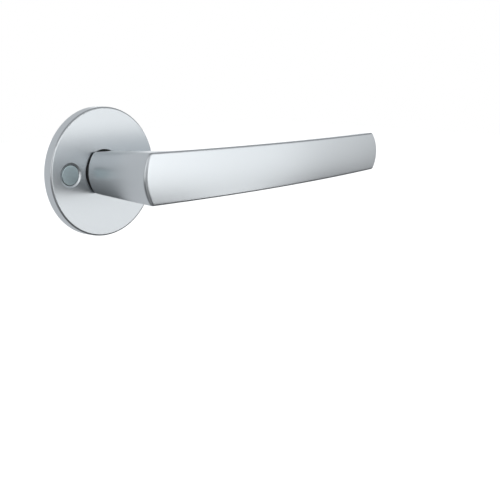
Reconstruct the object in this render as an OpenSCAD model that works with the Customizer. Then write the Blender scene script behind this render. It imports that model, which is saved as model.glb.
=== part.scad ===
// Door lever handle on a round rose, for a door with an 8 mm square spindle.
// Millimetres. X runs along the lever arm, Y into the door, Z up.
// The origin is the centre of the rose's back face, on the spindle's axis.

/* [Node] */
// Which piece to draw

/* [Rose] */
// Radius of the rose
rose_r = 30; // [29:0.1:31]
// Thickness of the rose
rose_t = 5.4; // [5.3:0.1:5.6]
// Rounding of the rose's front edge
rose_edge_r = 0.9; // [0.2:0.1:1.2]
// Thickness of the rose's front wall
rose_wall = 1.8; // [1.6:0.1:1.9]
// Thickness of the rose's rim
rose_rim = 2.2; // [1.8:0.1:2.4]
// Radius of the hole that takes the bearing bush
rose_hole_r = 10.3; // [10.2:0.05:10.6]
// Half the distance between the two fixing screws
fix_half = 19; // [18.8:0.1:19.4]

/* [Screw caps] */
// Radius of a screw cap
cap_r = 4.65; // [4.4:0.05:4.7]
// Radius of the bore a cap sits in
cap_bore_r = 4.85; // [4.8:0.05:5]
// Outer radius of the countersink round a cap
cap_sink_r = 5.75; // [5.4:0.05:6]
// How far a cap sits below the rose's face
cap_drop = 0.1; // [0.05:0.05:0.3]

/* [Lever neck] */
// Gap between the rose's face and the end of the neck
neck_gap = 0.95; // [0.9:0.05:1.1]
// Half height of the neck at the rose
neck_half_h = 9.55; // [9:0.05:10]
// Distance from the spindle's axis to the neck's outer side at the rose
neck_outer_x = 10.1; // [9.6:0.1:10.4]
// Distance from the spindle's axis to the neck's outer side at the front
neck_front_x = 9.5; // [9.2:0.1:10.1]
// Distance from the spindle's axis to the neck's finger side
neck_inner_x = 9.6; // [9:0.1:10.4]
// Curve radius of the neck's outer side at the rose
neck_side_r = 16.1; // [15:0.1:18]
// Curve radius of the neck's outer side at the front
neck_front_side_r = 25.4; // [22:0.1:30]
// Radius of the fillet where the neck meets the arm
fillet_r = 6; // [4:0.5:8]

/* [Lever arm] */
// X of the arm's front corner above the neck
corner_x = -6.6; // [-7.5:0.1:-6]
// Distance of that corner in front of the door
corner_y = 47.4; // [45:0.1:49]
// X of the corners at the arm's tip
tip_x = 144.3; // [125:0.1:150]
// Distance of the tip's corners in front of the door
tip_y = 44.4; // [43:0.1:46]
// How far the arm's front bows out between its corners
arm_bow = 6.1; // [4:0.1:7]
// Thickness of the arm
arm_t = 10; // [8:0.5:12]
// Half height of the arm at its front corner
corner_half_h = 12.05; // [11:0.05:12.5]
// Half height of the arm at its tip
tip_half_h = 9.55; // [8:0.05:10.5]
// Curve radius of the tip's end
tip_end_r = 14.7; // [12:0.1:20]

/* [Spindle and travel] */
// Width across the flats of the square spindle
spindle_w = 8; // [7.6:0.1:8]
// How far the spindle reaches into the door
spindle_out = 32; // [25:1:60]
// How far the lever turns down, in degrees
turn = 45; // [30:1:50]

/* [Hidden] */
$fn = 96;
eps = 0.01;
slack = 0.1;

// levels along Y, from the front of the rose to the end of the chamber
face_y = -rose_t;
neck_y = face_y - neck_gap;
inner_y = face_y + rose_wall;
plate_y = -2;
pad_y = -0.5;
stop_y = 0.95;
cam_y = 1.1;
cam_t = 2;
chamber_y = 9.6;
cover_t = 1;
tail_y = 8.9;

// the chamber and what turns in it
recess_r = rose_r - rose_rim;
plate_r = recess_r - 0.2;
lip_r = 11.2;
chamber_r = 12;
chamber_out_r = 13.2;
stop_ring_r = 9.8;
cam_r = 9.4;
cam_lug_r = 11.6;
cam_lug_half = 2.4;
journal_r = 8.5;
journal_end_y = 1;
journal_groove_r = 7.9;
tail_r = 7.6;
tail_flat = 6.4;
tail_groove_r = 7;
bush_r = rose_hole_r - 0.05;
bush_bore_r = journal_r + 0.06;
bush_flange_r = 12.2;
bush_front_y = neck_y + 0.15;
bush_flange_y = inner_y + slack;

// screws
head_y = -3.7;
fix_head_r = 3.9;
fix_shank_r = 1.75;
fix_thread_r = 2;
fix_hole_r = 2.2;
fix_tip_y = 12;
lug_r = 4;
lug_y = 7;
boss_r = 6.5;
sink_depth = 0.6;
fix_head_bore_r = fix_head_r + 0.2;
fix_head_low_y = -1.8;
fix_slot_w = 0.9;
fix_tip_chamfer = 0.5;
plate_screw_z = 21.5;
plate_screw_r = 1.5;
plate_head_r = 2.8;
plate_boss_r = 3.6;
plate_head_t = 1.25;
plate_slot_w = 0.7;
tap_y = -4.2;
cover_screw_z = 15.6;
cover_screw_r = 1;
cover_screw_y = 4.8;
cover_screw_head_r = 1.9;
cover_screw_head_t = 1.2;
cover_hole_r = 6.4;
ear_r = 2.6;
pad_hole_r = 14.2;
pad_lug_hole_r = 5.2;
seal_wire_r = 0.35;
seal_y = -4.25;

// the coiled spring
coil_r = 10.3;
wire_r = 0.7;
coil_pitch = 1.6;
coil_turns = 2.5;
coil_y = 5;
leg_hole_r = 0.95;

// the spindle's socket and its grub screw
socket_w = spindle_w + 0.2;
socket_y = -38;
grub_y = -19;
grub_r = 3;

// the arm's front is an arc through its two corners, bowed toward the user
chord_x = tip_x - corner_x;
chord_y = corner_y - tip_y;
chord = sqrt(chord_x * chord_x + chord_y * chord_y);
front_r = (chord * chord / 4 + arm_bow * arm_bow) / (2 * arm_bow);
back_r = front_r - arm_t;
arc_x = (corner_x + tip_x) / 2 - (front_r - arm_bow) * chord_y / chord;
arc_y = -(corner_y + tip_y) / 2 + (front_r - arm_bow) * chord_x / chord;

// the neck's outer side is a cone whose outermost line leans a little inward toward the front
neck_len = corner_y + neck_y;
side_lean = atan((neck_outer_x - neck_front_x) / neck_len);
side_angle = atan((neck_front_side_r - neck_side_r) / neck_len);
side_apex_y = neck_y + neck_side_r / tan(side_angle);
side_apex_x = -neck_outer_x - (side_apex_y - neck_y) * tan(side_lean);
side_len = (side_apex_y + corner_y + 30) / cos(side_angle);

// ---- helpers ----

// a round bar along Y from y0 to y1, with its own radius at each end
module bar(y0, y1, r0, r1) {
    translate([0, y0, 0]) rotate([-90, 0, 0]) cylinder(h = y1 - y0, r1 = r0, r2 = r1);
}

module rod(y0, y1, r) {
    bar(y0, y1, r, r);
}

module tube(y0, y1, r_out, r_in) {
    difference() {
        rod(y0, y1, r_out);
        rod(y0 - 1, y1 + 1, r_in);
    }
}

// a plate along Y from y0 to y1 with the outline given as a child, drawn in X and Z
module slab(y0, y1) {
    translate([0, y1, 0]) rotate([90, 0, 0]) linear_extrude(y1 - y0) children();
}

module at_both_fixings() {
    for (side = [-1, 1]) translate([side * fix_half, 0, 0]) children();
}

module above_and_below(z) {
    for (side = [-1, 1]) translate([0, 0, side * z]) children();
}

// an open spring ring with two eyes beside its gap, as seen along Y
module circlip_outline(r_in, r_out, eye_r, gap) {
    difference() {
        union() {
            translate([0, (r_in - r_out) * 0.12]) circle(r = r_out);
            for (side = [-1, 1]) {
                translate([side * (gap / 2 + eye_r), r_in + eye_r * 0.6]) circle(r = eye_r);
            }
        }
        circle(r = r_in);
        translate([-gap / 2, 0]) square([gap, r_out + 4]);
        for (side = [-1, 1]) {
            translate([side * (gap / 2 + eye_r), r_in + eye_r * 0.8]) circle(r = eye_r * 0.45);
        }
    }
}

// ---- pieces fixed to the door ----

module rose_blank() {
    rotate([90, 0, 0]) rotate_extrude() {
        square([rose_r - rose_edge_r, rose_t]);
        square([rose_r, rose_t - rose_edge_r]);
        translate([rose_r - rose_edge_r, rose_t - rose_edge_r]) circle(r = rose_edge_r);
    }
}

module rose() {
    color([0.80, 0.80, 0.79]) difference() {
        rose_blank();
        difference() {
            rod(inner_y, 1, recess_r);
            at_both_fixings() rod(inner_y - 1, plate_y, boss_r);
            above_and_below(plate_screw_z) rod(inner_y - 1, plate_y, plate_boss_r);
        }
        rod(face_y - 1, inner_y + 1, rose_hole_r);
        at_both_fixings() {
            bar(face_y - eps, face_y + sink_depth, cap_sink_r, cap_bore_r);
            rod(face_y - eps, head_y, cap_bore_r);
            bar(head_y - eps, fix_head_low_y, fix_head_bore_r, fix_hole_r);
            rod(head_y, 0, fix_hole_r);
        }
        above_and_below(plate_screw_z) rod(tap_y, plate_y + eps, plate_screw_r + 0.05);
    }
}

module bearing_bush() {
    color([0.07, 0.07, 0.07]) difference() {
        union() {
            rod(bush_front_y, bush_flange_y + eps, bush_r);
            rod(bush_flange_y, plate_y - 0.05, bush_flange_r);
        }
        rod(bush_front_y - 1, 1, bush_bore_r);
    }
}

// the sector the cam's lug turns through, wide enough for the lug at both stops
module lug_window() {
    reach = chamber_out_r;
    half = cam_lug_half + 0.05;
    for (angle = [0, -turn]) rotate(angle) translate([-half, -reach]) square([2 * half, reach]);
    polygon([
        [0, 0], [0, -reach], [-reach * sin(turn / 2), -reach * cos(turn / 2)],
        [-reach * sin(turn), -reach * cos(turn)]
    ]);
}

module mounting_plate() {
    color([0.62, 0.63, 0.64]) {
        difference() {
            union() {
                rod(plate_y, pad_y, plate_r);
                at_both_fixings() rod(pad_y - eps, lug_y, lug_r);
                rod(pad_y - eps, chamber_y, chamber_out_r);
                above_and_below(cover_screw_z) rod(pad_y - eps, chamber_y, ear_r);
                slab(pad_y - eps, chamber_y) square([3, 2 * cover_screw_z], center = true);
            }
            rod(plate_y - 1, 1, lip_r);
            rod(pad_y, chamber_y + 1, chamber_r);
            at_both_fixings() rod(plate_y - 1, lug_y + 1, fix_hole_r);
            above_and_below(plate_screw_z) {
                rod(plate_y - 1, pad_y, plate_screw_r + slack);
                bar(pad_y - 1.4, pad_y + eps, plate_screw_r, plate_head_r + slack);
            }
            above_and_below(cover_screw_z) rod(cover_screw_y - 0.3, chamber_y + 1, cover_screw_r + 0.05);
        }
        slab(stop_y, cam_y + cam_t + 0.15) difference() {
            circle(r = chamber_r + 0.3);
            circle(r = stop_ring_r);
            lug_window();
        }
    }
}

module plate_screws() {
    color([0.70, 0.70, 0.68]) above_and_below(plate_screw_z) difference() {
        union() {
            rod(tap_y + slack, pad_y - slack, plate_screw_r);
            bar(pad_y - slack - plate_head_t, pad_y - slack, plate_screw_r, plate_head_r);
        }
        slab(pad_y - 0.8, pad_y) cross_slot(3.2, plate_slot_w);
    }
}

module cross_slot(reach, width) {
    square([reach, width], center = true);
    square([width, reach], center = true);
}

module chamber_cover() {
    color([0.72, 0.72, 0.70]) difference() {
        slab(chamber_y + 0.02, chamber_y + cover_t) union() {
            circle(r = chamber_out_r);
            square([2 * ear_r, 2 * cover_screw_z], center = true);
            for (side = [-1, 1]) translate([0, side * cover_screw_z]) circle(r = ear_r);
        }
        rod(chamber_y - 1, chamber_y + 2, cover_hole_r);
        above_and_below(cover_screw_z) rod(chamber_y - 1, chamber_y + 2, cover_screw_r + slack);
        translate([0, 0, coil_r]) rod(chamber_y - 1, chamber_y + 2, leg_hole_r);
    }
}

module cover_screws() {
    top = chamber_y + cover_t;
    color([0.70, 0.70, 0.68]) above_and_below(cover_screw_z) difference() {
        union() {
            rod(cover_screw_y, top + 0.1, cover_screw_r);
            bar(top + 0.02, top + cover_screw_head_t, cover_screw_head_r, cover_screw_head_r - 0.4);
        }
        slab(top + 0.5, top + 2) cross_slot(cover_screw_head_r, 0.45);
    }
}

// one flat slice through a round wire wound at this pitch, as a crescent round the coil
module wire_slice() {
    half = 360 * wire_r / coil_pitch;
    steps = 8;
    function bulge(a) = wire_r * sqrt(max(0, 1 - pow(a / half, 2)));
    function at(a, side) = (coil_r + side * bulge(a)) * [sin(a), -cos(a)];
    polygon([
        for (i = [0 : steps]) at(-half * cos(180 * i / steps), 1),
        for (i = [1 : steps - 1]) at(half * cos(180 * i / steps), -1)
    ]);
}

module return_spring() {
    height = coil_turns * coil_pitch;
    color([0.45, 0.46, 0.48]) {
        translate([0, coil_y + height, 0]) rotate([90, 0, 0]) {
            linear_extrude(height, twist = -360 * coil_turns, slices = 70, $fn = 12) {
                rotate(180) wire_slice();
            }
        }
        translate([0, 0, -coil_r]) rod(1.5, coil_y + 0.4, wire_r);
        translate([0, 0, coil_r]) rod(coil_y + height - 0.4, chamber_y + cover_t, wire_r);
    }
}

module door_pad() {
    color([0.10, 0.10, 0.10]) slab(pad_y, 0) difference() {
        circle(r = plate_r - 0.2);
        circle(r = pad_hole_r);
        for (side = [-1, 1]) {
            translate([side * fix_half, 0]) circle(r = pad_lug_hole_r);
            translate([0, side * cover_screw_z]) circle(r = ear_r + 0.3);
        }
    }
}

module fixing_screws() {
    color([0.74, 0.74, 0.72]) at_both_fixings() difference() {
        union() {
            bar(head_y + 0.05, fix_head_low_y + 0.05, fix_head_r, fix_shank_r);
            rod(fix_head_low_y, lug_y + 0.3, fix_shank_r);
            rod(lug_y + 0.3, fix_tip_y - fix_tip_chamfer, fix_thread_r);
            bar(fix_tip_y - fix_tip_chamfer, fix_tip_y, fix_thread_r, fix_thread_r - fix_tip_chamfer);
        }
        slab(head_y - 1, head_y + 1.4) cross_slot(4.2, fix_slot_w);
    }
}

module screw_cap() {
    cap_y = face_y + cap_drop;
    chamfer = 0.4;
    difference() {
        union() {
            bar(cap_y, cap_y + chamfer, cap_r - chamfer, cap_r);
            rod(cap_y + chamfer - eps, head_y - 0.1, cap_r);
        }
        tube(seal_y - seal_wire_r, seal_y + seal_wire_r, cap_r + 1, cap_r - 2 * seal_wire_r + 0.15);
    }
}

module screw_cap_left() {
    color([0.55, 0.60, 0.62]) translate([-fix_half, 0, 0]) screw_cap();
}

module screw_cap_right() {
    color([0.55, 0.60, 0.62]) translate([fix_half, 0, 0]) screw_cap();
}

module cap_seals() {
    color([0.08, 0.08, 0.08]) at_both_fixings() translate([0, seal_y, 0]) rotate([-90, 0, 0]) {
        rotate_extrude() translate([cap_bore_r - seal_wire_r - 0.02, 0]) circle(r = seal_wire_r - 0.03);
    }
}

module thrust_washer() {
    color([0.66, 0.66, 0.65]) tube(-1.95, -1.15, lip_r - 0.35, journal_r + 0.4);
}

// a dished washer that keeps the lever from rattling
module spring_washer() {
    color([0.50, 0.51, 0.53]) difference() {
        bar(-1.05, -0.4, lip_r - 0.4, journal_r + 1.2);
        bar(-1.051, -0.6, lip_r - 0.75, journal_r + 0.85);
        rod(-2, 1, journal_r + 0.4);
    }
}

// ---- pieces that turn with the lever ----

// the solid bounded by the neck's outer side, open toward +X
module outer_side() {
    translate([side_apex_x, side_apex_y, 0]) rotate([0, 0, side_angle + side_lean]) rotate([90, 0, 0]) {
        cylinder(h = side_len, r1 = 0, r2 = side_len * tan(side_angle), $fn = 180);
    }
    translate([0, -80, -20]) cube([200, 90, 40]);
}

// the neck seen from the side, opening out from the rose to the front
module side_outline() {
    flare = (corner_half_h - neck_half_h) / neck_len;
    front = neck_len + 20;
    translate([-20, 0, 0]) rotate([90, 0, 90]) linear_extrude(240) polygon([
        [neck_y, neck_half_h], [neck_y, -neck_half_h],
        [neck_y - front, -neck_half_h - flare * front], [neck_y - front, neck_half_h + flare * front]
    ]);
}

// the arm seen from the front, narrowing to a rounded tip
module front_outline() {
    tip_end_x = tip_x + tip_end_r - sqrt(tip_end_r * tip_end_r - tip_half_h * tip_half_h);
    taper = (corner_half_h - tip_half_h) / chord_x;
    left = -20;
    right = tip_end_x + 5;
    left_h = corner_half_h + taper * (corner_x - left);
    right_h = tip_half_h - taper * (right - tip_x);
    slab(-80, 20) intersection() {
        polygon([[left, left_h], [right, right_h], [right, -right_h], [left, -left_h]]);
        union() {
            translate([left, -20]) square([tip_end_x - tip_end_r - left, 40]);
            translate([tip_end_x - tip_end_r, 0]) circle(r = tip_end_r);
        }
    }
}

// the lever seen from above: the bowed arm, the neck and the web between them
module lever_plan() {
    centre_x = neck_inner_x + fillet_r;
    reach = back_r - fillet_r;
    centre_y = arc_y - sqrt(reach * reach - pow(centre_x - arc_x, 2));
    intersection() {
        union() {
            difference() {
                translate([-20, -80]) square([tip_x + 40, 60]);
                translate([arc_x, arc_y]) circle(r = back_r, $fn = 720);
            }
            translate([-20, -80]) square([20 + neck_inner_x, 80 + neck_y]);
            difference() {
                translate([0, centre_y - fillet_r - 2]) square([centre_x, fillet_r + 2]);
                translate([centre_x, centre_y]) circle(r = fillet_r);
            }
        }
        translate([arc_x, arc_y]) circle(r = front_r, $fn = 720);
    }
}

module lever() {
    color([0.80, 0.80, 0.79]) difference() {
        union() {
            intersection() {
                translate([0, 0, -20]) linear_extrude(40) lever_plan();
                outer_side();
                side_outline();
                front_outline();
            }
            rod(neck_y - eps, journal_end_y, journal_r);
            intersection() {
                rod(journal_end_y - eps, tail_y, tail_r);
                slab(0, tail_y + 1) square([2 * tail_flat, 30], center = true);
            }
        }
        slab(socket_y, tail_y + 1) square(socket_w, center = true);
        tube(-0.35, 0.75, journal_r + 1, journal_groove_r);
        tube(cam_y + cam_t + 0.05, cam_y + cam_t + 0.95, tail_r + 1, tail_groove_r);
        translate([0, grub_y, -20]) cylinder(h = 20, r = grub_r + 0.05);
    }
}

module spindle() {
    back = socket_y + 0.5;
    corner = spindle_w / sqrt(2);
    length = spindle_out - back;
    chamfer = 0.8;
    color([0.60, 0.60, 0.58]) intersection() {
        slab(back, spindle_out) square(spindle_w, center = true);
        translate([0, back, 0]) rotate([-90, 45, 0]) {
            cylinder(h = length, r1 = corner + length - chamfer, r2 = corner - chamfer, $fn = 4);
        }
    }
}

module grub_screw() {
    low = -9.7;
    high = -spindle_w / 2 - 0.02;
    color([0.25, 0.25, 0.26]) translate([0, grub_y, 0]) difference() {
        translate([0, 0, low]) cylinder(h = high - low, r = grub_r);
        translate([0, 0, low - 1]) cylinder(h = 3.4, r = 1.73, $fn = 6);
        translate([0, 0, high - 0.6]) cylinder(h = 0.7, r1 = 0.8, r2 = 1.5);
    }
}

module journal_circlip() {
    color([0.30, 0.30, 0.31]) slab(-0.3, 0.7) circlip_outline(journal_groove_r + 0.05, 10.3, 1.2, 3);
}

module drive_cam() {
    color([0.58, 0.58, 0.56]) slab(cam_y, cam_y + cam_t) difference() {
        union() {
            circle(r = cam_r);
            intersection() {
                translate([-cam_lug_half, -cam_lug_r]) square([2 * cam_lug_half, cam_lug_r]);
                circle(r = cam_lug_r);
            }
        }
        intersection() {
            circle(r = tail_r + 0.05);
            square([2 * tail_flat + slack, 30], center = true);
        }
        translate([0, -coil_r]) circle(r = leg_hole_r);
        translate([-leg_hole_r, -cam_lug_r - 1]) square([2 * leg_hole_r, cam_lug_r + 1 - coil_r]);
    }
}

module cam_circlip() {
    color([0.30, 0.30, 0.31]) slab(cam_y + cam_t + 0.1, cam_y + cam_t + 0.9) {
        circlip_outline(tail_groove_r + 0.05, 8.9, 0.9, 2.6);
    }
}

rose();
bearing_bush();
mounting_plate();
plate_screws();
chamber_cover();
cover_screws();
return_spring();
door_pad();
fixing_screws();
screw_cap_left();
screw_cap_right();
cap_seals();
thrust_washer();
spring_washer();
lever();
spindle();
grub_screw();
journal_circlip();
drive_cam();
cam_circlip();
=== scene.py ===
"""Looks for a door lever handle on a round rose: visible pieces, finishes, light and camera.

Lengths are in millimetres where a name says so and are turned into metres when a mesh is made.
X runs along the lever arm, Y into the door, Z up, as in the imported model.
"""

import math

import bmesh
import bpy
from mathutils import Matrix, Vector


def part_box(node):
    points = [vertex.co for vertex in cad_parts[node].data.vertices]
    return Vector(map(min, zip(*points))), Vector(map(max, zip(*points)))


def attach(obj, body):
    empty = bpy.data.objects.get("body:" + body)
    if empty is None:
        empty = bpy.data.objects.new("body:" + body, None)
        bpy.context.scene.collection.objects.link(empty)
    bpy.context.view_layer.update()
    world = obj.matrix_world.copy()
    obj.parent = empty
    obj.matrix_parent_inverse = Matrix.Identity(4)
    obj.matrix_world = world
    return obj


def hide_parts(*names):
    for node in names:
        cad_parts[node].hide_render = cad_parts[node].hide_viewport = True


MM = 0.001
ROSE_BODY = "rose_assembly"
LEVER_BODY = "lever_assembly"

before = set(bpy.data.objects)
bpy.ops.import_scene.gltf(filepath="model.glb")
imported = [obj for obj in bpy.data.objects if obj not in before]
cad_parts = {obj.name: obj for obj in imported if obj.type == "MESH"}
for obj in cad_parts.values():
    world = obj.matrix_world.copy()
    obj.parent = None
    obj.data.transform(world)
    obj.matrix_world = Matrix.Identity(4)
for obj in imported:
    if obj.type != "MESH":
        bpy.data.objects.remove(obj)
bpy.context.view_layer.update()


def box_mm(node):
    low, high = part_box(node)
    return low / MM, high / MM


rose_low, rose_high = box_mm("rose")
_, lever_high = box_mm("lever")
bush_low, bush_high = box_mm("bearing_bush")
cap_low, cap_high = box_mm("screw_cap_left")

# The rose, its caps and the bush. A "y" is a place along the spindle's axis, toward the door.
ROSE_R = rose_high.x
FACE_Y = rose_low.y
ROSE_EDGE = 0.9
ROSE_WALL = 1.8
ROSE_RIM = 2.2
REAR_CHAMFER = 0.25
HOLE_R = 10.3
HOLE_CHAMFER = 0.2
FIX_X = (cap_high.x + cap_low.x) / -2
FIX_BOSS_R = 6.5
FIX_HEAD_R = 4.1
FIX_SHANK_R = 2.2
HEAD_Y = -3.7
HEAD_CONE_Y = -1.8
PLATE_SCREW_Z = 21.5
PLATE_BOSS_R = 3.6
PLATE_TAP_R = 1.55
PLATE_TAP_Y = -4.2
BOSS_START_Y = FACE_Y + 1.2
BOSS_END_Y = -2
CAP_R = (cap_high.x - cap_low.x) / 2
CAP_BORE_R = 4.85
CAP_SINK_R = 5.75
CAP_SINK_DEPTH = 0.34
SINK_LIP = 0.12
CAP_EDGE = 0.25
CAP_DISH = 0.05
SEAL_GROOVE_Y = (-4.6, -3.9)
SEAL_GROOVE_DEPTH = 0.5
BUSH_GAP = 0.05
BUSH_BORE_R = 8.56
BUSH_FLANGE_R = 12.2

# The lever's neck and arm. Arm curves are seen from above; a half height is half the full one.
NECK_Y = FACE_Y - 0.95
NECK_HALF_H = 9.8
NECK_OUTER_X = 9.85
NECK_FRONT_X = 9.5
NECK_TILT = 0.025
NECK_INNER_X = 9.6
NECK_SIDE_R = 16.1
NECK_FRONT_SIDE_R = 25.4
NECK_END_ROUND = 0.25
FILLET_R = 6
CORNER = Vector((-6.6, -47.4))
TIP = Vector((144.3, -44.4))
ARM_BOW = 6.09
ARM_T = 10
CORNER_HALF_H = 12.05
TIP_HALF_H = 9.55
TIP_END_R = 14.7
TIP_END_X = lever_high.x
CROWN = 0.45
TOP_ROUND = 0.95
CORNER_CUT = 2.0
TIP_CUT = 1.0
ARM_DRAFT = 0.11
DRAFT_RUN = 24
CREASE_SOFTNESS = 0.12

# What the rose hides of the lever: journal, tail with two flats, and the square spindle hole.
JOURNAL_R, JOURNAL_START, JOURNAL_END = 8.5, -14, 1
JOURNAL_GROOVE = (7.9, -0.35, 0.75)
TAIL_R, TAIL_END = 7.6, 8.9
TAIL_GROOVE = (7.0, 3.15, 4.05)
TAIL_FLAT_X = 6.4
PAST = 10
SOCKET_HALF = 4.1
SOCKET_START, SOCKET_END = -38, 12
GRUB_Y = -19
GRUB_R = 3.05
GRUB_CHAMFER = 0.45
GRUB_TOP_Z = -3
GRUB_SIDES = 72

# How finely the lever is divided, along its outline and round its section.
NECK_STEPS, SIDE_STEPS, TURN_STEPS, WEB_STEPS, ARM_STEPS, TIP_STEPS, END_STEPS = 18, 12, 10, 16, 96, 9, 7
WALL_LEVELS, ROUND_LEVELS, ACROSS, NECK_END_LEVELS = 14, 7, 10, 4

chord = TIP - CORNER
FRONT_R = (chord.length_squared / 4 + ARM_BOW ** 2) / (2 * ARM_BOW)
BACK_R = FRONT_R - ARM_T
ARC = (CORNER + TIP) / 2 + Vector((-chord.y, chord.x)).normalized() * (FRONT_R - ARM_BOW)
NECK_LEN = -CORNER.y + NECK_Y
FLARE = (CORNER_HALF_H + 0.05 - NECK_HALF_H) / NECK_LEN
TAPER = (CORNER_HALF_H - TIP_HALF_H) / chord.x
FILLET_X = NECK_INNER_X + FILLET_R
FILLET_Y = ARC.y - math.sqrt((BACK_R - FILLET_R) ** 2 - (FILLET_X - ARC.x) ** 2)


# ---- mesh helpers ----

def lerp(a, b, u):
    return a + (b - a) * u


def bend(a, corner, b, u):
    """A point on the smooth curve that leaves a toward corner and arrives at b from it."""
    return a * (1 - u) ** 2 + corner * 2 * u * (1 - u) + b * u ** 2


def to_object(name, bm, sharp_deg=32):
    """A mesh object in metres from a bmesh in millimetres, with smooth shading up to sharp_deg."""
    bmesh.ops.recalc_face_normals(bm, faces=bm.faces)
    mesh = bpy.data.meshes.new(name)
    bm.to_mesh(mesh)
    bm.free()
    mesh.transform(Matrix.Scale(MM, 4))
    obj = bpy.data.objects.new(name, mesh)
    bpy.context.collection.objects.link(obj)
    shade(mesh, sharp_deg)
    return obj


def shade(mesh, sharp_deg):
    mesh.polygons.foreach_set("use_smooth", [True] * len(mesh.polygons))
    mesh.set_sharp_from_angle(angle=math.radians(sharp_deg))
    mesh.update()


def revolve(name, profile, at=(0, 0), segments=192, sharp_deg=32):
    """A closed solid of revolution round the Y axis, from (radius, y) points. Radius 0 closes it."""
    bm = bmesh.new()
    rings = []
    for r, y in profile:
        if r < 1e-6:
            rings.append([bm.verts.new((at[0], y, at[1]))])
            continue
        ring = []
        for i in range(segments):
            a = math.tau * i / segments
            ring.append(bm.verts.new((at[0] + r * math.cos(a), y, at[1] + r * math.sin(a))))
        rings.append(ring)
    closed = profile[0][0] > 1e-6
    pairs = list(zip(rings, rings[1:])) + ([(rings[-1], rings[0])] if closed else [])
    for low, high in pairs:
        for i in range(segments):
            j = (i + 1) % segments
            corners = [low[i % len(low)], low[j % len(low)], high[j % len(high)], high[i % len(high)]]
            corners = [v for k, v in enumerate(corners) if v not in corners[:k]]
            if len(corners) > 2:
                bm.faces.new(corners)
    return to_object(name, bm, sharp_deg)


def arc_points(centre, radius, start_deg, end_deg, steps):
    """Points (radius, y) along an arc in a profile."""
    out = []
    for i in range(steps + 1):
        a = math.radians(lerp(start_deg, end_deg, i / steps))
        out.append((centre[0] + radius * math.cos(a), centre[1] + radius * math.sin(a)))
    return out


def combine(obj, cutters, operation, sharp_deg=32):
    """obj with the other meshes cut out of it or joined to it; the others are removed."""
    for cutter in cutters:
        step = obj.modifiers.new("solid", "BOOLEAN")
        step.operation = operation
        step.solver = "EXACT"
        step.object = cutter
    shaped = bpy.data.meshes.new_from_object(obj.evaluated_get(bpy.context.evaluated_depsgraph_get()))
    obj.modifiers.clear()
    obj.data = shaped
    for cutter in cutters:
        bpy.data.objects.remove(cutter)
    shade(shaped, sharp_deg)
    return obj


def even_normals(obj):
    """Large flat faces keep their own normal, so that only the roundings beside them shade round."""
    step = obj.modifiers.new("even", "WEIGHTED_NORMAL")
    step.mode = "FACE_AREA"
    step.weight = 100
    step.keep_sharp = True
    shaped = bpy.data.meshes.new_from_object(obj.evaluated_get(bpy.context.evaluated_depsgraph_get()))
    obj.modifiers.clear()
    obj.data = shaped
    return obj


def prism(name, outline, y0, y1):
    """A straight solid along Y with the outline given as (x, z) points."""
    bm = bmesh.new()
    ends = [[bm.verts.new((x, y, z)) for x, z in outline] for y in (y0, y1)]
    bm.faces.new(ends[0])
    bm.faces.new(ends[1])
    for i in range(len(outline)):
        j = (i + 1) % len(outline)
        bm.faces.new((ends[0][i], ends[0][j], ends[1][j], ends[1][i]))
    return to_object(name, bm)


def place(obj, body, slot, material, *nodes):
    even_normals(obj)
    obj.data.materials.clear()
    obj.data.materials.append(material)
    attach(obj, body)
    if nodes:
        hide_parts(*nodes)
    return obj


# ---- the lever's shape ----

def front_y(x):
    return ARC.y - math.sqrt(FRONT_R ** 2 - (x - ARC.x) ** 2)


def back_y(x):
    return ARC.y - math.sqrt(BACK_R ** 2 - (x - ARC.x) ** 2)


def outer_x(y, z):
    """The neck's outer side: an arc in every section, opening from the rose to the front."""
    along = (NECK_Y - y) / NECK_LEN
    r = lerp(NECK_SIDE_R, NECK_FRONT_SIDE_R, along)
    return -lerp(NECK_OUTER_X, NECK_FRONT_X, along) + r - math.sqrt(r * r - z * z)


def tip_x(z):
    return TIP_END_X - TIP_END_R + math.sqrt(TIP_END_R ** 2 - z * z)


def half_height(x, y):
    """Height of the lever's top. The arm narrows to its tip and toward its back; the neck flares."""
    neck = NECK_HALF_H + FLARE * (NECK_Y - y) - NECK_TILT * (min(x, NECK_INNER_X) + NECK_OUTER_X)
    start = min(max((x - CORNER.x) / DRAFT_RUN, 0), 1)
    depth = max(y - front_y(max(x, CORNER.x)), 0)
    arm = CORNER_HALF_H - TAPER * (x - CORNER.x) - ARM_DRAFT * start * depth
    gap = max(CREASE_SOFTNESS - abs(neck - arm), 0) / CREASE_SOFTNESS
    return min(neck, arm) - gap * gap * CREASE_SOFTNESS / 4


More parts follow.
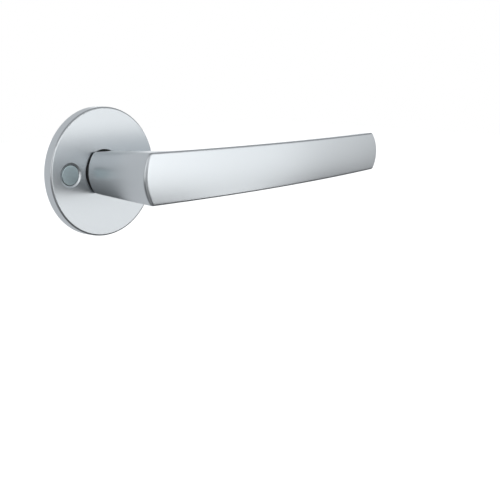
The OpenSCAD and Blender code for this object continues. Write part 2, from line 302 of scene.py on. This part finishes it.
def outer_stations(z):
    """The lever's outer outline seen from above at height z, from the rose to the tip's middle."""
    corner_x = outer_x(CORNER.y, z)
    corner = Vector((corner_x, front_y(corner_x)))
    turn_in = Vector((corner_x, corner.y + CORNER_CUT))
    turn_out = Vector((corner_x + CORNER_CUT, front_y(corner_x + CORNER_CUT)))
    end_x = tip_x(z)
    tip = Vector((end_x, front_y(end_x)))
    tip_in = Vector((end_x - TIP_CUT, front_y(end_x - TIP_CUT)))
    tip_out = Vector((end_x, tip.y + TIP_CUT))
    middle_y = (front_y(end_x) + back_y(end_x)) / 2
    out = []
    for u in steps(NECK_STEPS):
        y = lerp(NECK_Y, FILLET_Y, u)
        out.append(Vector((outer_x(y, z), y)))
    for u in steps(SIDE_STEPS):
        y = lerp(FILLET_Y, turn_in.y, u)
        out.append(Vector((outer_x(y, z), y)))
    out += [bend(turn_in, corner, turn_out, u) for u in steps(TURN_STEPS)]
    for u in steps(WEB_STEPS):
        x = lerp(turn_out.x, FILLET_X, u)
        out.append(Vector((x, front_y(x))))
    for u in steps(ARM_STEPS):
        x = lerp(FILLET_X, tip_in.x, u)
        out.append(Vector((x, front_y(x))))
    out += [bend(tip_in, tip, tip_out, u) for u in steps(TIP_STEPS)]
    for u in steps(END_STEPS) + [1.0]:
        out.append(Vector((end_x, lerp(tip_out.y, middle_y, u))))
    return out


def inner_stations(z):
    """The same for the finger side: neck, web and the arm's back."""
    end_x = tip_x(z)
    tip = Vector((end_x, back_y(end_x)))
    tip_in = Vector((end_x - TIP_CUT, back_y(end_x - TIP_CUT)))
    tip_out = Vector((end_x, tip.y - TIP_CUT))
    middle_y = (front_y(end_x) + back_y(end_x)) / 2
    out = [Vector((NECK_INNER_X, lerp(NECK_Y, FILLET_Y, u))) for u in steps(NECK_STEPS)]
    web = SIDE_STEPS + TURN_STEPS + WEB_STEPS
    toward_arm = Vector((FILLET_X, FILLET_Y)) - ARC
    sweep = math.atan2(-toward_arm.y, -toward_arm.x)
    for i in range(web):
        u = i / web
        a = lerp(math.pi, math.pi + sweep, u)
        out.append(Vector((FILLET_X + FILLET_R * math.cos(a), FILLET_Y + FILLET_R * math.sin(a))))
    for u in steps(ARM_STEPS):
        x = lerp(FILLET_X + FILLET_R * math.cos(math.pi + sweep), tip_in.x, u)
        out.append(Vector((x, back_y(x))))
    out += [bend(tip_in, tip, tip_out, u) for u in steps(TIP_STEPS)]
    for u in steps(END_STEPS) + [1.0]:
        out.append(Vector((end_x, lerp(tip_out.y, middle_y, u))))
    return out


def steps(count):
    return [i / count for i in range(count)]


def normals_along(points):
    """Outward unit normals of an outline that runs with the solid on its left."""
    out = []
    for i in range(len(points)):
        along = points[min(i + 1, len(points) - 1)] - points[max(i - 1, 0)]
        out.append(Vector((along.y, -along.x)).normalized())
    return out


def wall_levels():
    """(share of the wall's height, angle up the top rounding) from the middle to the top edge."""
    flat = [(i / WALL_LEVELS, 0.0) for i in range(-WALL_LEVELS, WALL_LEVELS + 1)]
    over = [(1.0, math.radians(90 * k / ROUND_LEVELS)) for k in range(1, ROUND_LEVELS + 1)]
    under = [(-1.0, -a) for _, a in reversed(over)]
    return under + flat + over


def build_lever_blank():
    """The neck and arm as one closed loft: a rounded section swept round the corner to the tip."""
    cache = {}

    def outline(z):
        key = round(z, 3)
        if key not in cache:
            outer, inner = outer_stations(key), inner_stations(key)
            loop = outer + inner[-2::-1]
            normal = normals_along(loop)
            n = len(outer)
            cache[key] = (outer, normal[:n], inner, normal[n - 1:][::-1])
        return cache[key]

    count = len(outer_stations(0))
    rest = outline(0.0)
    levels = wall_levels()
    bm = bmesh.new()

    def wall_point(i, which, share, angle):
        base = rest[which][i]
        h = half_height(base.x, base.y)
        round_up = TOP_ROUND * math.sin(abs(angle))
        z = math.copysign(abs(share) * (h - TOP_ROUND) + round_up, share if share else 1)
        flat = outline(z)
        inset = CROWN * (z / h) ** 2 + TOP_ROUND * (1 - math.cos(angle))
        p = flat[which][i] - flat[which + 1][i] * inset
        if abs(share) == 1.0:
            top = half_height(p.x, p.y) - TOP_ROUND + round_up
            z = math.copysign(top, share)
        return Vector((p.x, p.y, z))

    rings = []
    for i in range(count):
        outer = [wall_point(i, 0, s, a) for s, a in levels]
        inner = [wall_point(i, 2, s, a) for s, a in levels]
        top = [outer[-1].lerp(inner[-1], k / ACROSS) for k in range(1, ACROSS)]
        under = [inner[0].lerp(outer[0], k / ACROSS) for k in range(1, ACROSS)]
        for p in top:
            p.z = half_height(p.x, p.y)
        for p in under:
            p.z = -half_height(p.x, p.y)
        rings.append(outer + top + inner[::-1] + under)
    lead = end_rounding(rings[0])
    rings = lead + rings[1:]
    made = [[bm.verts.new(p) for p in ring] for ring in rings]
    size = len(made[0])
    for low, high in zip(made, made[1:]):
        for i in range(size):
            j = (i + 1) % size
            bm.faces.new((low[i], low[j], high[j], high[i]))
    bm.faces.new(made[0])
    bmesh.ops.remove_doubles(bm, verts=bm.verts, dist=0.002)
    bmesh.ops.dissolve_degenerate(bm, edges=bm.edges, dist=0.0005)
    return to_object("lever_casting", bm, 40)


def end_rounding(ring):
    """The neck's end at the rose: the first ring drawn in over a small rounding."""
    out = []
    for k in range(NECK_END_LEVELS + 1):
        a = math.radians(90 * k / NECK_END_LEVELS)
        shrink = 1 - NECK_END_ROUND * (1 - math.sin(a)) / NECK_INNER_X
        y = NECK_Y - NECK_END_ROUND * (1 - math.cos(a))
        out.append([Vector((p.x * shrink, y, p.z * shrink)) for p in ring])
    return out


def grooved(radius, start, end, groove):
    """Profile points of a round length with a circlip groove: (radius, start, end) of the groove."""
    groove_r, groove_start, groove_end = groove
    return [
        (radius, start), (radius, groove_start), (groove_r, groove_start),
        (groove_r, groove_end), (radius, groove_end), (radius, end),
    ]


def build_journal():
    profile = [(0, JOURNAL_START)] + grooved(JOURNAL_R, JOURNAL_START, JOURNAL_END, JOURNAL_GROOVE)
    profile += grooved(TAIL_R, JOURNAL_END, TAIL_END, TAIL_GROOVE) + [(0, TAIL_END)]
    journal = revolve("journal", profile, segments=96)
    flats = [prism("flat", [(s * TAIL_FLAT_X, -PAST), (s * PAST, -PAST), (s * PAST, PAST),
                            (s * TAIL_FLAT_X, PAST)], JOURNAL_END, PAST) for s in (-1, 1)]
    return combine(journal, flats, "DIFFERENCE")


def build_grub_bore():
    """The cut for the grub screw: up from under the neck, with a chamfered mouth."""
    under = -half_height(0, GRUB_Y)
    bm = bmesh.new()
    rings = []
    mouth = GRUB_R + GRUB_CHAMFER
    below = 0.5
    profile = [(GRUB_R, GRUB_TOP_Z), (GRUB_R, under + GRUB_CHAMFER), (mouth, under),
               (mouth + 0.8 * below, under - below)]
    for r, z in profile:
        ring = []
        for i in range(GRUB_SIDES):
            a = math.tau * i / GRUB_SIDES
            ring.append(bm.verts.new((r * math.cos(a), GRUB_Y + r * math.sin(a), z)))
        rings.append(ring)
    for low, high in zip(rings, rings[1:]):
        for i in range(GRUB_SIDES):
            j = (i + 1) % GRUB_SIDES
            bm.faces.new((low[i], low[j], high[j], high[i]))
    bm.faces.new(rings[0])
    bm.faces.new(rings[-1])
    return to_object("grub_bore", bm)


def build_lever():
    blank = build_lever_blank()
    combine(blank, [build_journal()], "UNION", 40)
    h = SOCKET_HALF
    socket = prism("socket", [(-h, -h), (h, -h), (h, h), (-h, h)], SOCKET_START, SOCKET_END)
    return combine(blank, [socket, build_grub_bore()], "DIFFERENCE", 40)


# ---- the rose and the small visible pieces ----

def rod(name, radius, y0, y1, at, segments):
    return revolve(name, [(0, y0), (radius, y0), (radius, y1), (0, y1)], at, segments)


def build_rose():
    r, e, h = ROSE_R, ROSE_EDGE, HOLE_CHAMFER
    inner_y = FACE_Y + ROSE_WALL
    profile = [(HOLE_R + h, FACE_Y)] + arc_points((r - e, FACE_Y + e), e, -90, 0, 8)
    profile += [(r, -REAR_CHAMFER), (r - REAR_CHAMFER, 0), (r - ROSE_RIM, 0), (r - ROSE_RIM, inner_y)]
    profile += [(HOLE_R, inner_y), (HOLE_R, FACE_Y + h)]
    rose = revolve("rose_disc", profile, segments=288)
    bosses = [rod("boss", FIX_BOSS_R, BOSS_START_Y, BOSS_END_Y, (s * FIX_X, 0), 96) for s in (-1, 1)]
    bosses += [rod("boss", PLATE_BOSS_R, BOSS_START_Y, BOSS_END_Y, (0, s * PLATE_SCREW_Z), 72)
               for s in (-1, 1)]
    combine(rose, bosses, "UNION")
    cuts = [revolve("sink", sink_profile(), (s * FIX_X, 0), 128) for s in (-1, 1)]
    cuts += [rod("tap", PLATE_TAP_R, PLATE_TAP_Y, 0, (0, s * PLATE_SCREW_Z), 48) for s in (-1, 1)]
    return combine(rose, cuts, "DIFFERENCE")


def sink_profile():
    """The cut for a cap and its screw: lip, shallow countersink, cap bore, cone and shank hole."""
    mouth = CAP_SINK_R + SINK_LIP
    return [
        (0, FACE_Y - 1), (mouth, FACE_Y - 1), (mouth, FACE_Y), (CAP_SINK_R, FACE_Y + SINK_LIP / 2),
        (CAP_BORE_R, FACE_Y + CAP_SINK_DEPTH), (CAP_BORE_R, HEAD_Y), (FIX_HEAD_R, HEAD_Y),
        (FIX_SHANK_R, HEAD_CONE_Y), (FIX_SHANK_R, 0.5), (0, 0.5),
    ]


def build_cap(name, x):
    """A plain cap with a softened edge, a very slightly dished face and a groove for its seal."""
    y, r, e = cap_low.y, CAP_R, CAP_EDGE
    groove_r, rear = r - SEAL_GROOVE_DEPTH, HEAD_Y - 0.1
    groove_start, groove_end = SEAL_GROOVE_Y
    profile = [(0, y + CAP_DISH), (r * 0.5, y + 0.7 * CAP_DISH), (r - 0.6, y)]
    profile += arc_points((r - e, y + e), e, -90, 0, 6)
    profile += [(r, groove_start), (groove_r, groove_start), (groove_r, groove_end), (r, groove_end)]
    profile += [(r, rear), (0, rear)]
    return revolve(name, profile, (x, 0), 128)


def build_bush():
    """The black bearing ring. Its nose fills the rose's hole and nearly touches the neck's end."""
    nose_r, front, e = HOLE_R - BUSH_GAP, bush_low.y, HOLE_CHAMFER
    rear = FACE_Y + ROSE_WALL + 0.1
    profile = [(BUSH_BORE_R + e, front)] + arc_points((nose_r - e, front + e), e, -90, 0, 4)
    profile += [(nose_r, rear), (BUSH_FLANGE_R, rear), (BUSH_FLANGE_R, bush_high.y)]
    profile += [(BUSH_BORE_R, bush_high.y), (BUSH_BORE_R, front + e)]
    return revolve("bush_ring", profile, segments=160)


# ---- finishes ----

# Noise scales are per metre, depths in millimetres.
RAMP_LOW, RAMP_HIGH = 0.2, 0.8
SLOW_SCALE, BELT_SCALE = 30.0, 1600.0
BELT_DEPTH = 0.0012
POLISH_CHANGE = 0.012


def shader(name, **values):
    """A node material and its main shader, with the constant values set on the shader's sockets."""
    material = bpy.data.materials.new(name)
    material.use_nodes = True
    main = material.node_tree.nodes["Principled BSDF"]
    for key, value in values.items():
        main.inputs[key.replace("_", " ")].default_value = value
    return material, main


def add(owner, kind, **values):
    """A new node in a material's or the world's tree, with properties or socket values set."""
    node = owner.node_tree.nodes.new(kind)
    for key, value in values.items():
        if hasattr(node, key):
            setattr(node, key, value)
        else:
            node.inputs[key.replace("_", " ")].default_value = value
    return node


def wire(owner, a, out, b, into):
    owner.node_tree.links.new(a.outputs[out], b.inputs[into])


def grain(material, stretch, scale, detail):
    """Noise in the object's own space, stretched along an axis like the marks of a finishing belt."""
    place_node = add(material, "ShaderNodeTexCoord")
    mapping = add(material, "ShaderNodeMapping")
    mapping.inputs["Scale"].default_value = stretch
    noise = add(material, "ShaderNodeTexNoise", Scale=scale, Detail=detail, Roughness=0.6)
    wire(material, place_node, "Object", mapping, "Vector")
    wire(material, mapping, "Vector", noise, "Vector")
    return noise


def spread(material, source, low, high):
    """The noise turned into a value from low to high."""
    node = add(material, "ShaderNodeMapRange")
    node.inputs["From Min"].default_value = RAMP_LOW
    node.inputs["From Max"].default_value = RAMP_HIGH
    node.inputs["To Min"].default_value = low
    node.inputs["To Max"].default_value = high
    wire(material, source, "Fac", node, "Value")
    return node


def tint(material, source, dark, light):
    """The noise turned into a colour from dark to light."""
    ramp = add(material, "ShaderNodeValToRGB")
    ramp.color_ramp.elements[0].position = RAMP_LOW
    ramp.color_ramp.elements[1].position = RAMP_HIGH
    ramp.color_ramp.elements[0].color = (*dark, 1)
    ramp.color_ramp.elements[1].color = (*light, 1)
    wire(material, source, "Fac", ramp, "Fac")
    return ramp


def bump(material, main, source, height_mm, strength):
    node = add(material, "ShaderNodeBump", Distance=height_mm * MM, Strength=strength)
    wire(material, source, "Fac", node, "Height")
    wire(material, node, "Normal", main, "Normal")
    return node


def satin_metal(name, stretch, colour, rough):
    """Satin-finished metal: slow, faint changes of polish and tone under a fine belt grain."""
    material, main = shader(name, Metallic=1.0)
    slow = grain(material, (1, 1, 1), SLOW_SCALE, 0.0)
    fine = grain(material, stretch, BELT_SCALE, 2.0)
    dark = [c * 0.98 for c in colour]
    colours = tint(material, slow, dark, colour)
    wire(material, colours, "Color", main, "Base Color")
    polish = spread(material, slow, rough - POLISH_CHANGE, rough + POLISH_CHANGE)
    wire(material, polish, "Result", main, "Roughness")
    bump(material, main, fine, BELT_DEPTH, 0.7)
    return material


def plain_metal(name, colour, rough, scale=500.0):
    """Plated or cast metal with a mottled skin."""
    material, main = shader(name, Metallic=1.0)
    skin = grain(material, (1, 1, 1), scale, 6.0)
    dark = [c * 0.86 for c in colour]
    wire(material, tint(material, skin, dark, colour), "Color", main, "Base Color")
    wire(material, spread(material, skin, rough - 0.06, rough + 0.08), "Result", main, "Roughness")
    bump(material, main, skin, 0.01, 0.4)
    return material


def dull(name, colour, rough, scale=700.0):
    """Moulded nylon or rubber: matt, with a fine pebble."""
    material, main = shader(name, Metallic=0.0)
    skin = grain(material, (1, 1, 1), scale, 5.0)
    light = [c * 1.35 for c in colour]
    wire(material, tint(material, skin, colour, light), "Color", main, "Base Color")
    wire(material, spread(material, skin, rough - 0.07, rough + 0.07), "Result", main, "Roughness")
    bump(material, main, skin, 0.015, 0.5)
    return material


SATIN = (0.775, 0.815, 0.84)
CAP_TONE = (0.78, 0.92, 0.95)
lever_metal = satin_metal("satin_lever", (0.12, 1, 1), SATIN, 0.29)
rose_metal = satin_metal("satin_rose", (1, 1, 1), SATIN, 0.29)
cap_metal = plain_metal("satin_cap", CAP_TONE, 0.38, 900.0)
nylon = dull("black_nylon", (0.006, 0.006, 0.007), 0.5)
rubber = dull("black_rubber", (0.02, 0.02, 0.02), 0.8)
zinc = plain_metal("zinc_plate", (0.74, 0.74, 0.71), 0.3)
cast = plain_metal("cast_alloy", (0.60, 0.61, 0.62), 0.45, 260.0)
sprung = plain_metal("spring_steel", (0.34, 0.35, 0.37), 0.35)
blackened = plain_metal("blackened_steel", (0.10, 0.10, 0.11), 0.42)

CAD_FINISHES = {
    "mounting_plate": cast, "plate_screws": zinc, "chamber_cover": zinc, "cover_screws": zinc,
    "return_spring": sprung, "door_pad": rubber, "fixing_screws": zinc, "cap_seals": rubber,
    "thrust_washer": zinc, "spring_washer": sprung, "spindle": zinc, "grub_screw": blackened,
    "journal_circlip": sprung, "drive_cam": zinc, "cam_circlip": sprung,
}


def finish_cad_nodes():
    for node, material in CAD_FINISHES.items():
        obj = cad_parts[node]
        obj.data.materials.clear()
        obj.data.materials.append(material)


# ---- light, floor and camera ----

ARM_CENTRE = Vector((0.06, -0.03, 0))
LIGHT_DISTANCE = 1.2
ROOM_TINT = (0.98, 1.0, 1.03)
FRONT_LOW, FRONT_HIGH, BEHIND = 0.10, 0.30, 0.57
FLOOR_SIZE, FLOOR_Z = 3000, -320
CAMERA_TURN, CAMERA_RISE, CAMERA_ROLL = 43.566, 10.062, -0.972
CAMERA_LENS = 98.469
CAMERA_PLACE = Vector((-0.38635, -0.50893, 0.0739))


def softbox(name, toward, size, brightness):
    """A soft panel of this brightness that faces the handle from (azimuth, elevation) in degrees."""
    azimuth, elevation = (math.radians(a) for a in toward)
    width, height = size
    across = math.cos(elevation)
    direction = Vector((math.sin(azimuth) * across, -math.cos(azimuth) * across, math.sin(elevation)))
    light = bpy.data.lights.new(name, "AREA")
    light.shape = "RECTANGLE"
    light.size = width
    light.size_y = height
    light.energy = brightness * math.pi * width * height
    lamp = bpy.data.objects.new(name, light)
    bpy.context.collection.objects.link(lamp)
    lamp.location = ARM_CENTRE + direction * LIGHT_DISTANCE
    lamp.visible_camera = False
    lamp.rotation_euler = (-direction).to_track_quat("-Z", "Y").to_euler()
    return lamp


# (name, (azimuth, elevation) in degrees, (width, height) in metres, brightness). The first five make
# one long band in front that dims to the right; the others are weaker and stand round it.
PANELS = [
    ("key", (2, -1), (0.50, 0.50), 1.15),
    ("key_2", (22, -1), (0.42, 0.50), 1.05),
    ("key_3", (42, -2), (0.42, 0.46), 0.91),
    ("key_4", (62, -1), (0.42, 0.46), 0.51),
    ("key_5", (88, -1), (0.65, 0.50), 0.27),
    ("low_side", (38, -20), (0.36, 0.25), 1.12),
    ("upper_left", (-15, 20), (0.60, 0.35), 1.00),
    ("upper", (25, 33), (0.90, 0.45), 0.32),
    ("upper_right", (55, 18), (0.60, 0.30), 0.16),
    ("left", (-46, -8), (0.50, 0.50), 0.38),
    ("far_left", (-80, 15), (0.60, 0.90), 0.75),
    ("high_left", (-45, 18), (0.50, 0.45), 0.34),
    ("low_left", (-46, -34), (0.60, 0.60), 0.24),
    ("back_right", (136, 12), (0.50, 0.40), 0.65),
]


def soft_light():
    for name, toward, size, brightness in PANELS:
        softbox(name, toward, size, brightness)


def surroundings():
    """White to the eye. In reflections, a grey room: a pale wall behind, darker in front and below."""
    world = bpy.data.worlds.new("studio")
    bpy.context.scene.world = world
    world.use_nodes = True
    world.node_tree.nodes.clear()
    out = add(world, "ShaderNodeOutputWorld")
    seen = add(world, "ShaderNodeBackground", Color=(1, 1, 1, 1))
    room = add(world, "ShaderNodeBackground", Color=(*ROOM_TINT, 1))
    coords = add(world, "ShaderNodeTexCoord")
    split = add(world, "ShaderNodeSeparateXYZ")
    front = soft_step(world, (-0.25, 0.1), (FRONT_LOW, FRONT_HIGH))
    behind = soft_step(world, (0.05, 0.65), (0.0, 1.0))
    level = add(world, "ShaderNodeMix", B=BEHIND)
    path = add(world, "ShaderNodeLightPath")
    mix = add(world, "ShaderNodeMixShader")
    wire(world, coords, "Generated", split, "Vector")
    wire(world, split, "Z", front, "Value")
    wire(world, split, "Y", behind, "Value")
    wire(world, behind, "Result", level, "Factor")
    wire(world, front, "Result", level, "A")
    wire(world, level, "Result", room, "Strength")
    wire(world, path, "Is Camera Ray", mix, "Fac")
    wire(world, room, "Background", mix, 1)
    wire(world, seen, "Background", mix, 2)
    wire(world, mix, "Shader", out, "Surface")


def soft_step(owner, edges, levels):
    node = add(owner, "ShaderNodeMapRange", interpolation_type="SMOOTHSTEP")
    node.inputs["From Min"].default_value, node.inputs["From Max"].default_value = edges
    node.inputs["To Min"].default_value, node.inputs["To Max"].default_value = levels
    return node


def floor():
    """A plain pale floor far enough below that the handle throws no clear shadow on it."""
    bm = bmesh.new()
    bmesh.ops.create_grid(bm, x_segments=1, y_segments=1, size=FLOOR_SIZE)
    for v in bm.verts:
        v.co.z = FLOOR_Z
    obj = to_object("floor", bm)
    material, main = shader("pale_floor", Roughness=0.9, Emission_Strength=0.8, Emission_Color=(1, 1, 1, 1))
    mottle = grain(material, (1, 1, 1), 3.0, 2.0)
    pale = tint(material, mottle, (0.93, 0.93, 0.93), (0.95, 0.95, 0.95))
    wire(material, pale, "Color", main, "Base Color")
    obj.data.materials.append(material)
    obj.visible_glossy = False


def camera():
    """Seen from the front left and a little above, with a slight roll."""
    turn, rise, roll = (math.radians(a) for a in (CAMERA_TURN, CAMERA_RISE, CAMERA_ROLL))
    back = Vector((-math.sin(turn) * math.cos(rise), -math.cos(turn) * math.cos(rise), math.sin(rise)))
    level_right = Vector((math.cos(turn), -math.sin(turn), 0))
    level_up = back.cross(level_right)
    right = level_right * math.cos(roll) + level_up * math.sin(roll)
    up = level_up * math.cos(roll) - level_right * math.sin(roll)
    data = bpy.data.cameras.new("camera")
    data.lens = CAMERA_LENS
    data.clip_start = 0.01
    obj = bpy.data.objects.new("camera", data)
    bpy.context.collection.objects.link(obj)
    basis = Matrix((right, up, back)).transposed().to_4x4()
    obj.matrix_world = Matrix.Translation(CAMERA_PLACE) @ basis
    bpy.context.scene.camera = obj


place(build_lever(), LEVER_BODY, "satin_metal", lever_metal, "lever")
place(build_rose(), ROSE_BODY, "satin_metal", rose_metal, "rose")
place(build_cap("cap_left", -FIX_X), ROSE_BODY, "cap_metal", cap_metal, "screw_cap_left")
place(build_cap("cap_right", FIX_X), ROSE_BODY, "cap_metal", cap_metal, "screw_cap_right")
place(build_bush(), ROSE_BODY, "black_nylon", nylon, "bearing_bush")
finish_cad_nodes()
surroundings()
floor()
soft_light()
camera()
bpy.context.scene.view_settings.view_transform = "Standard"
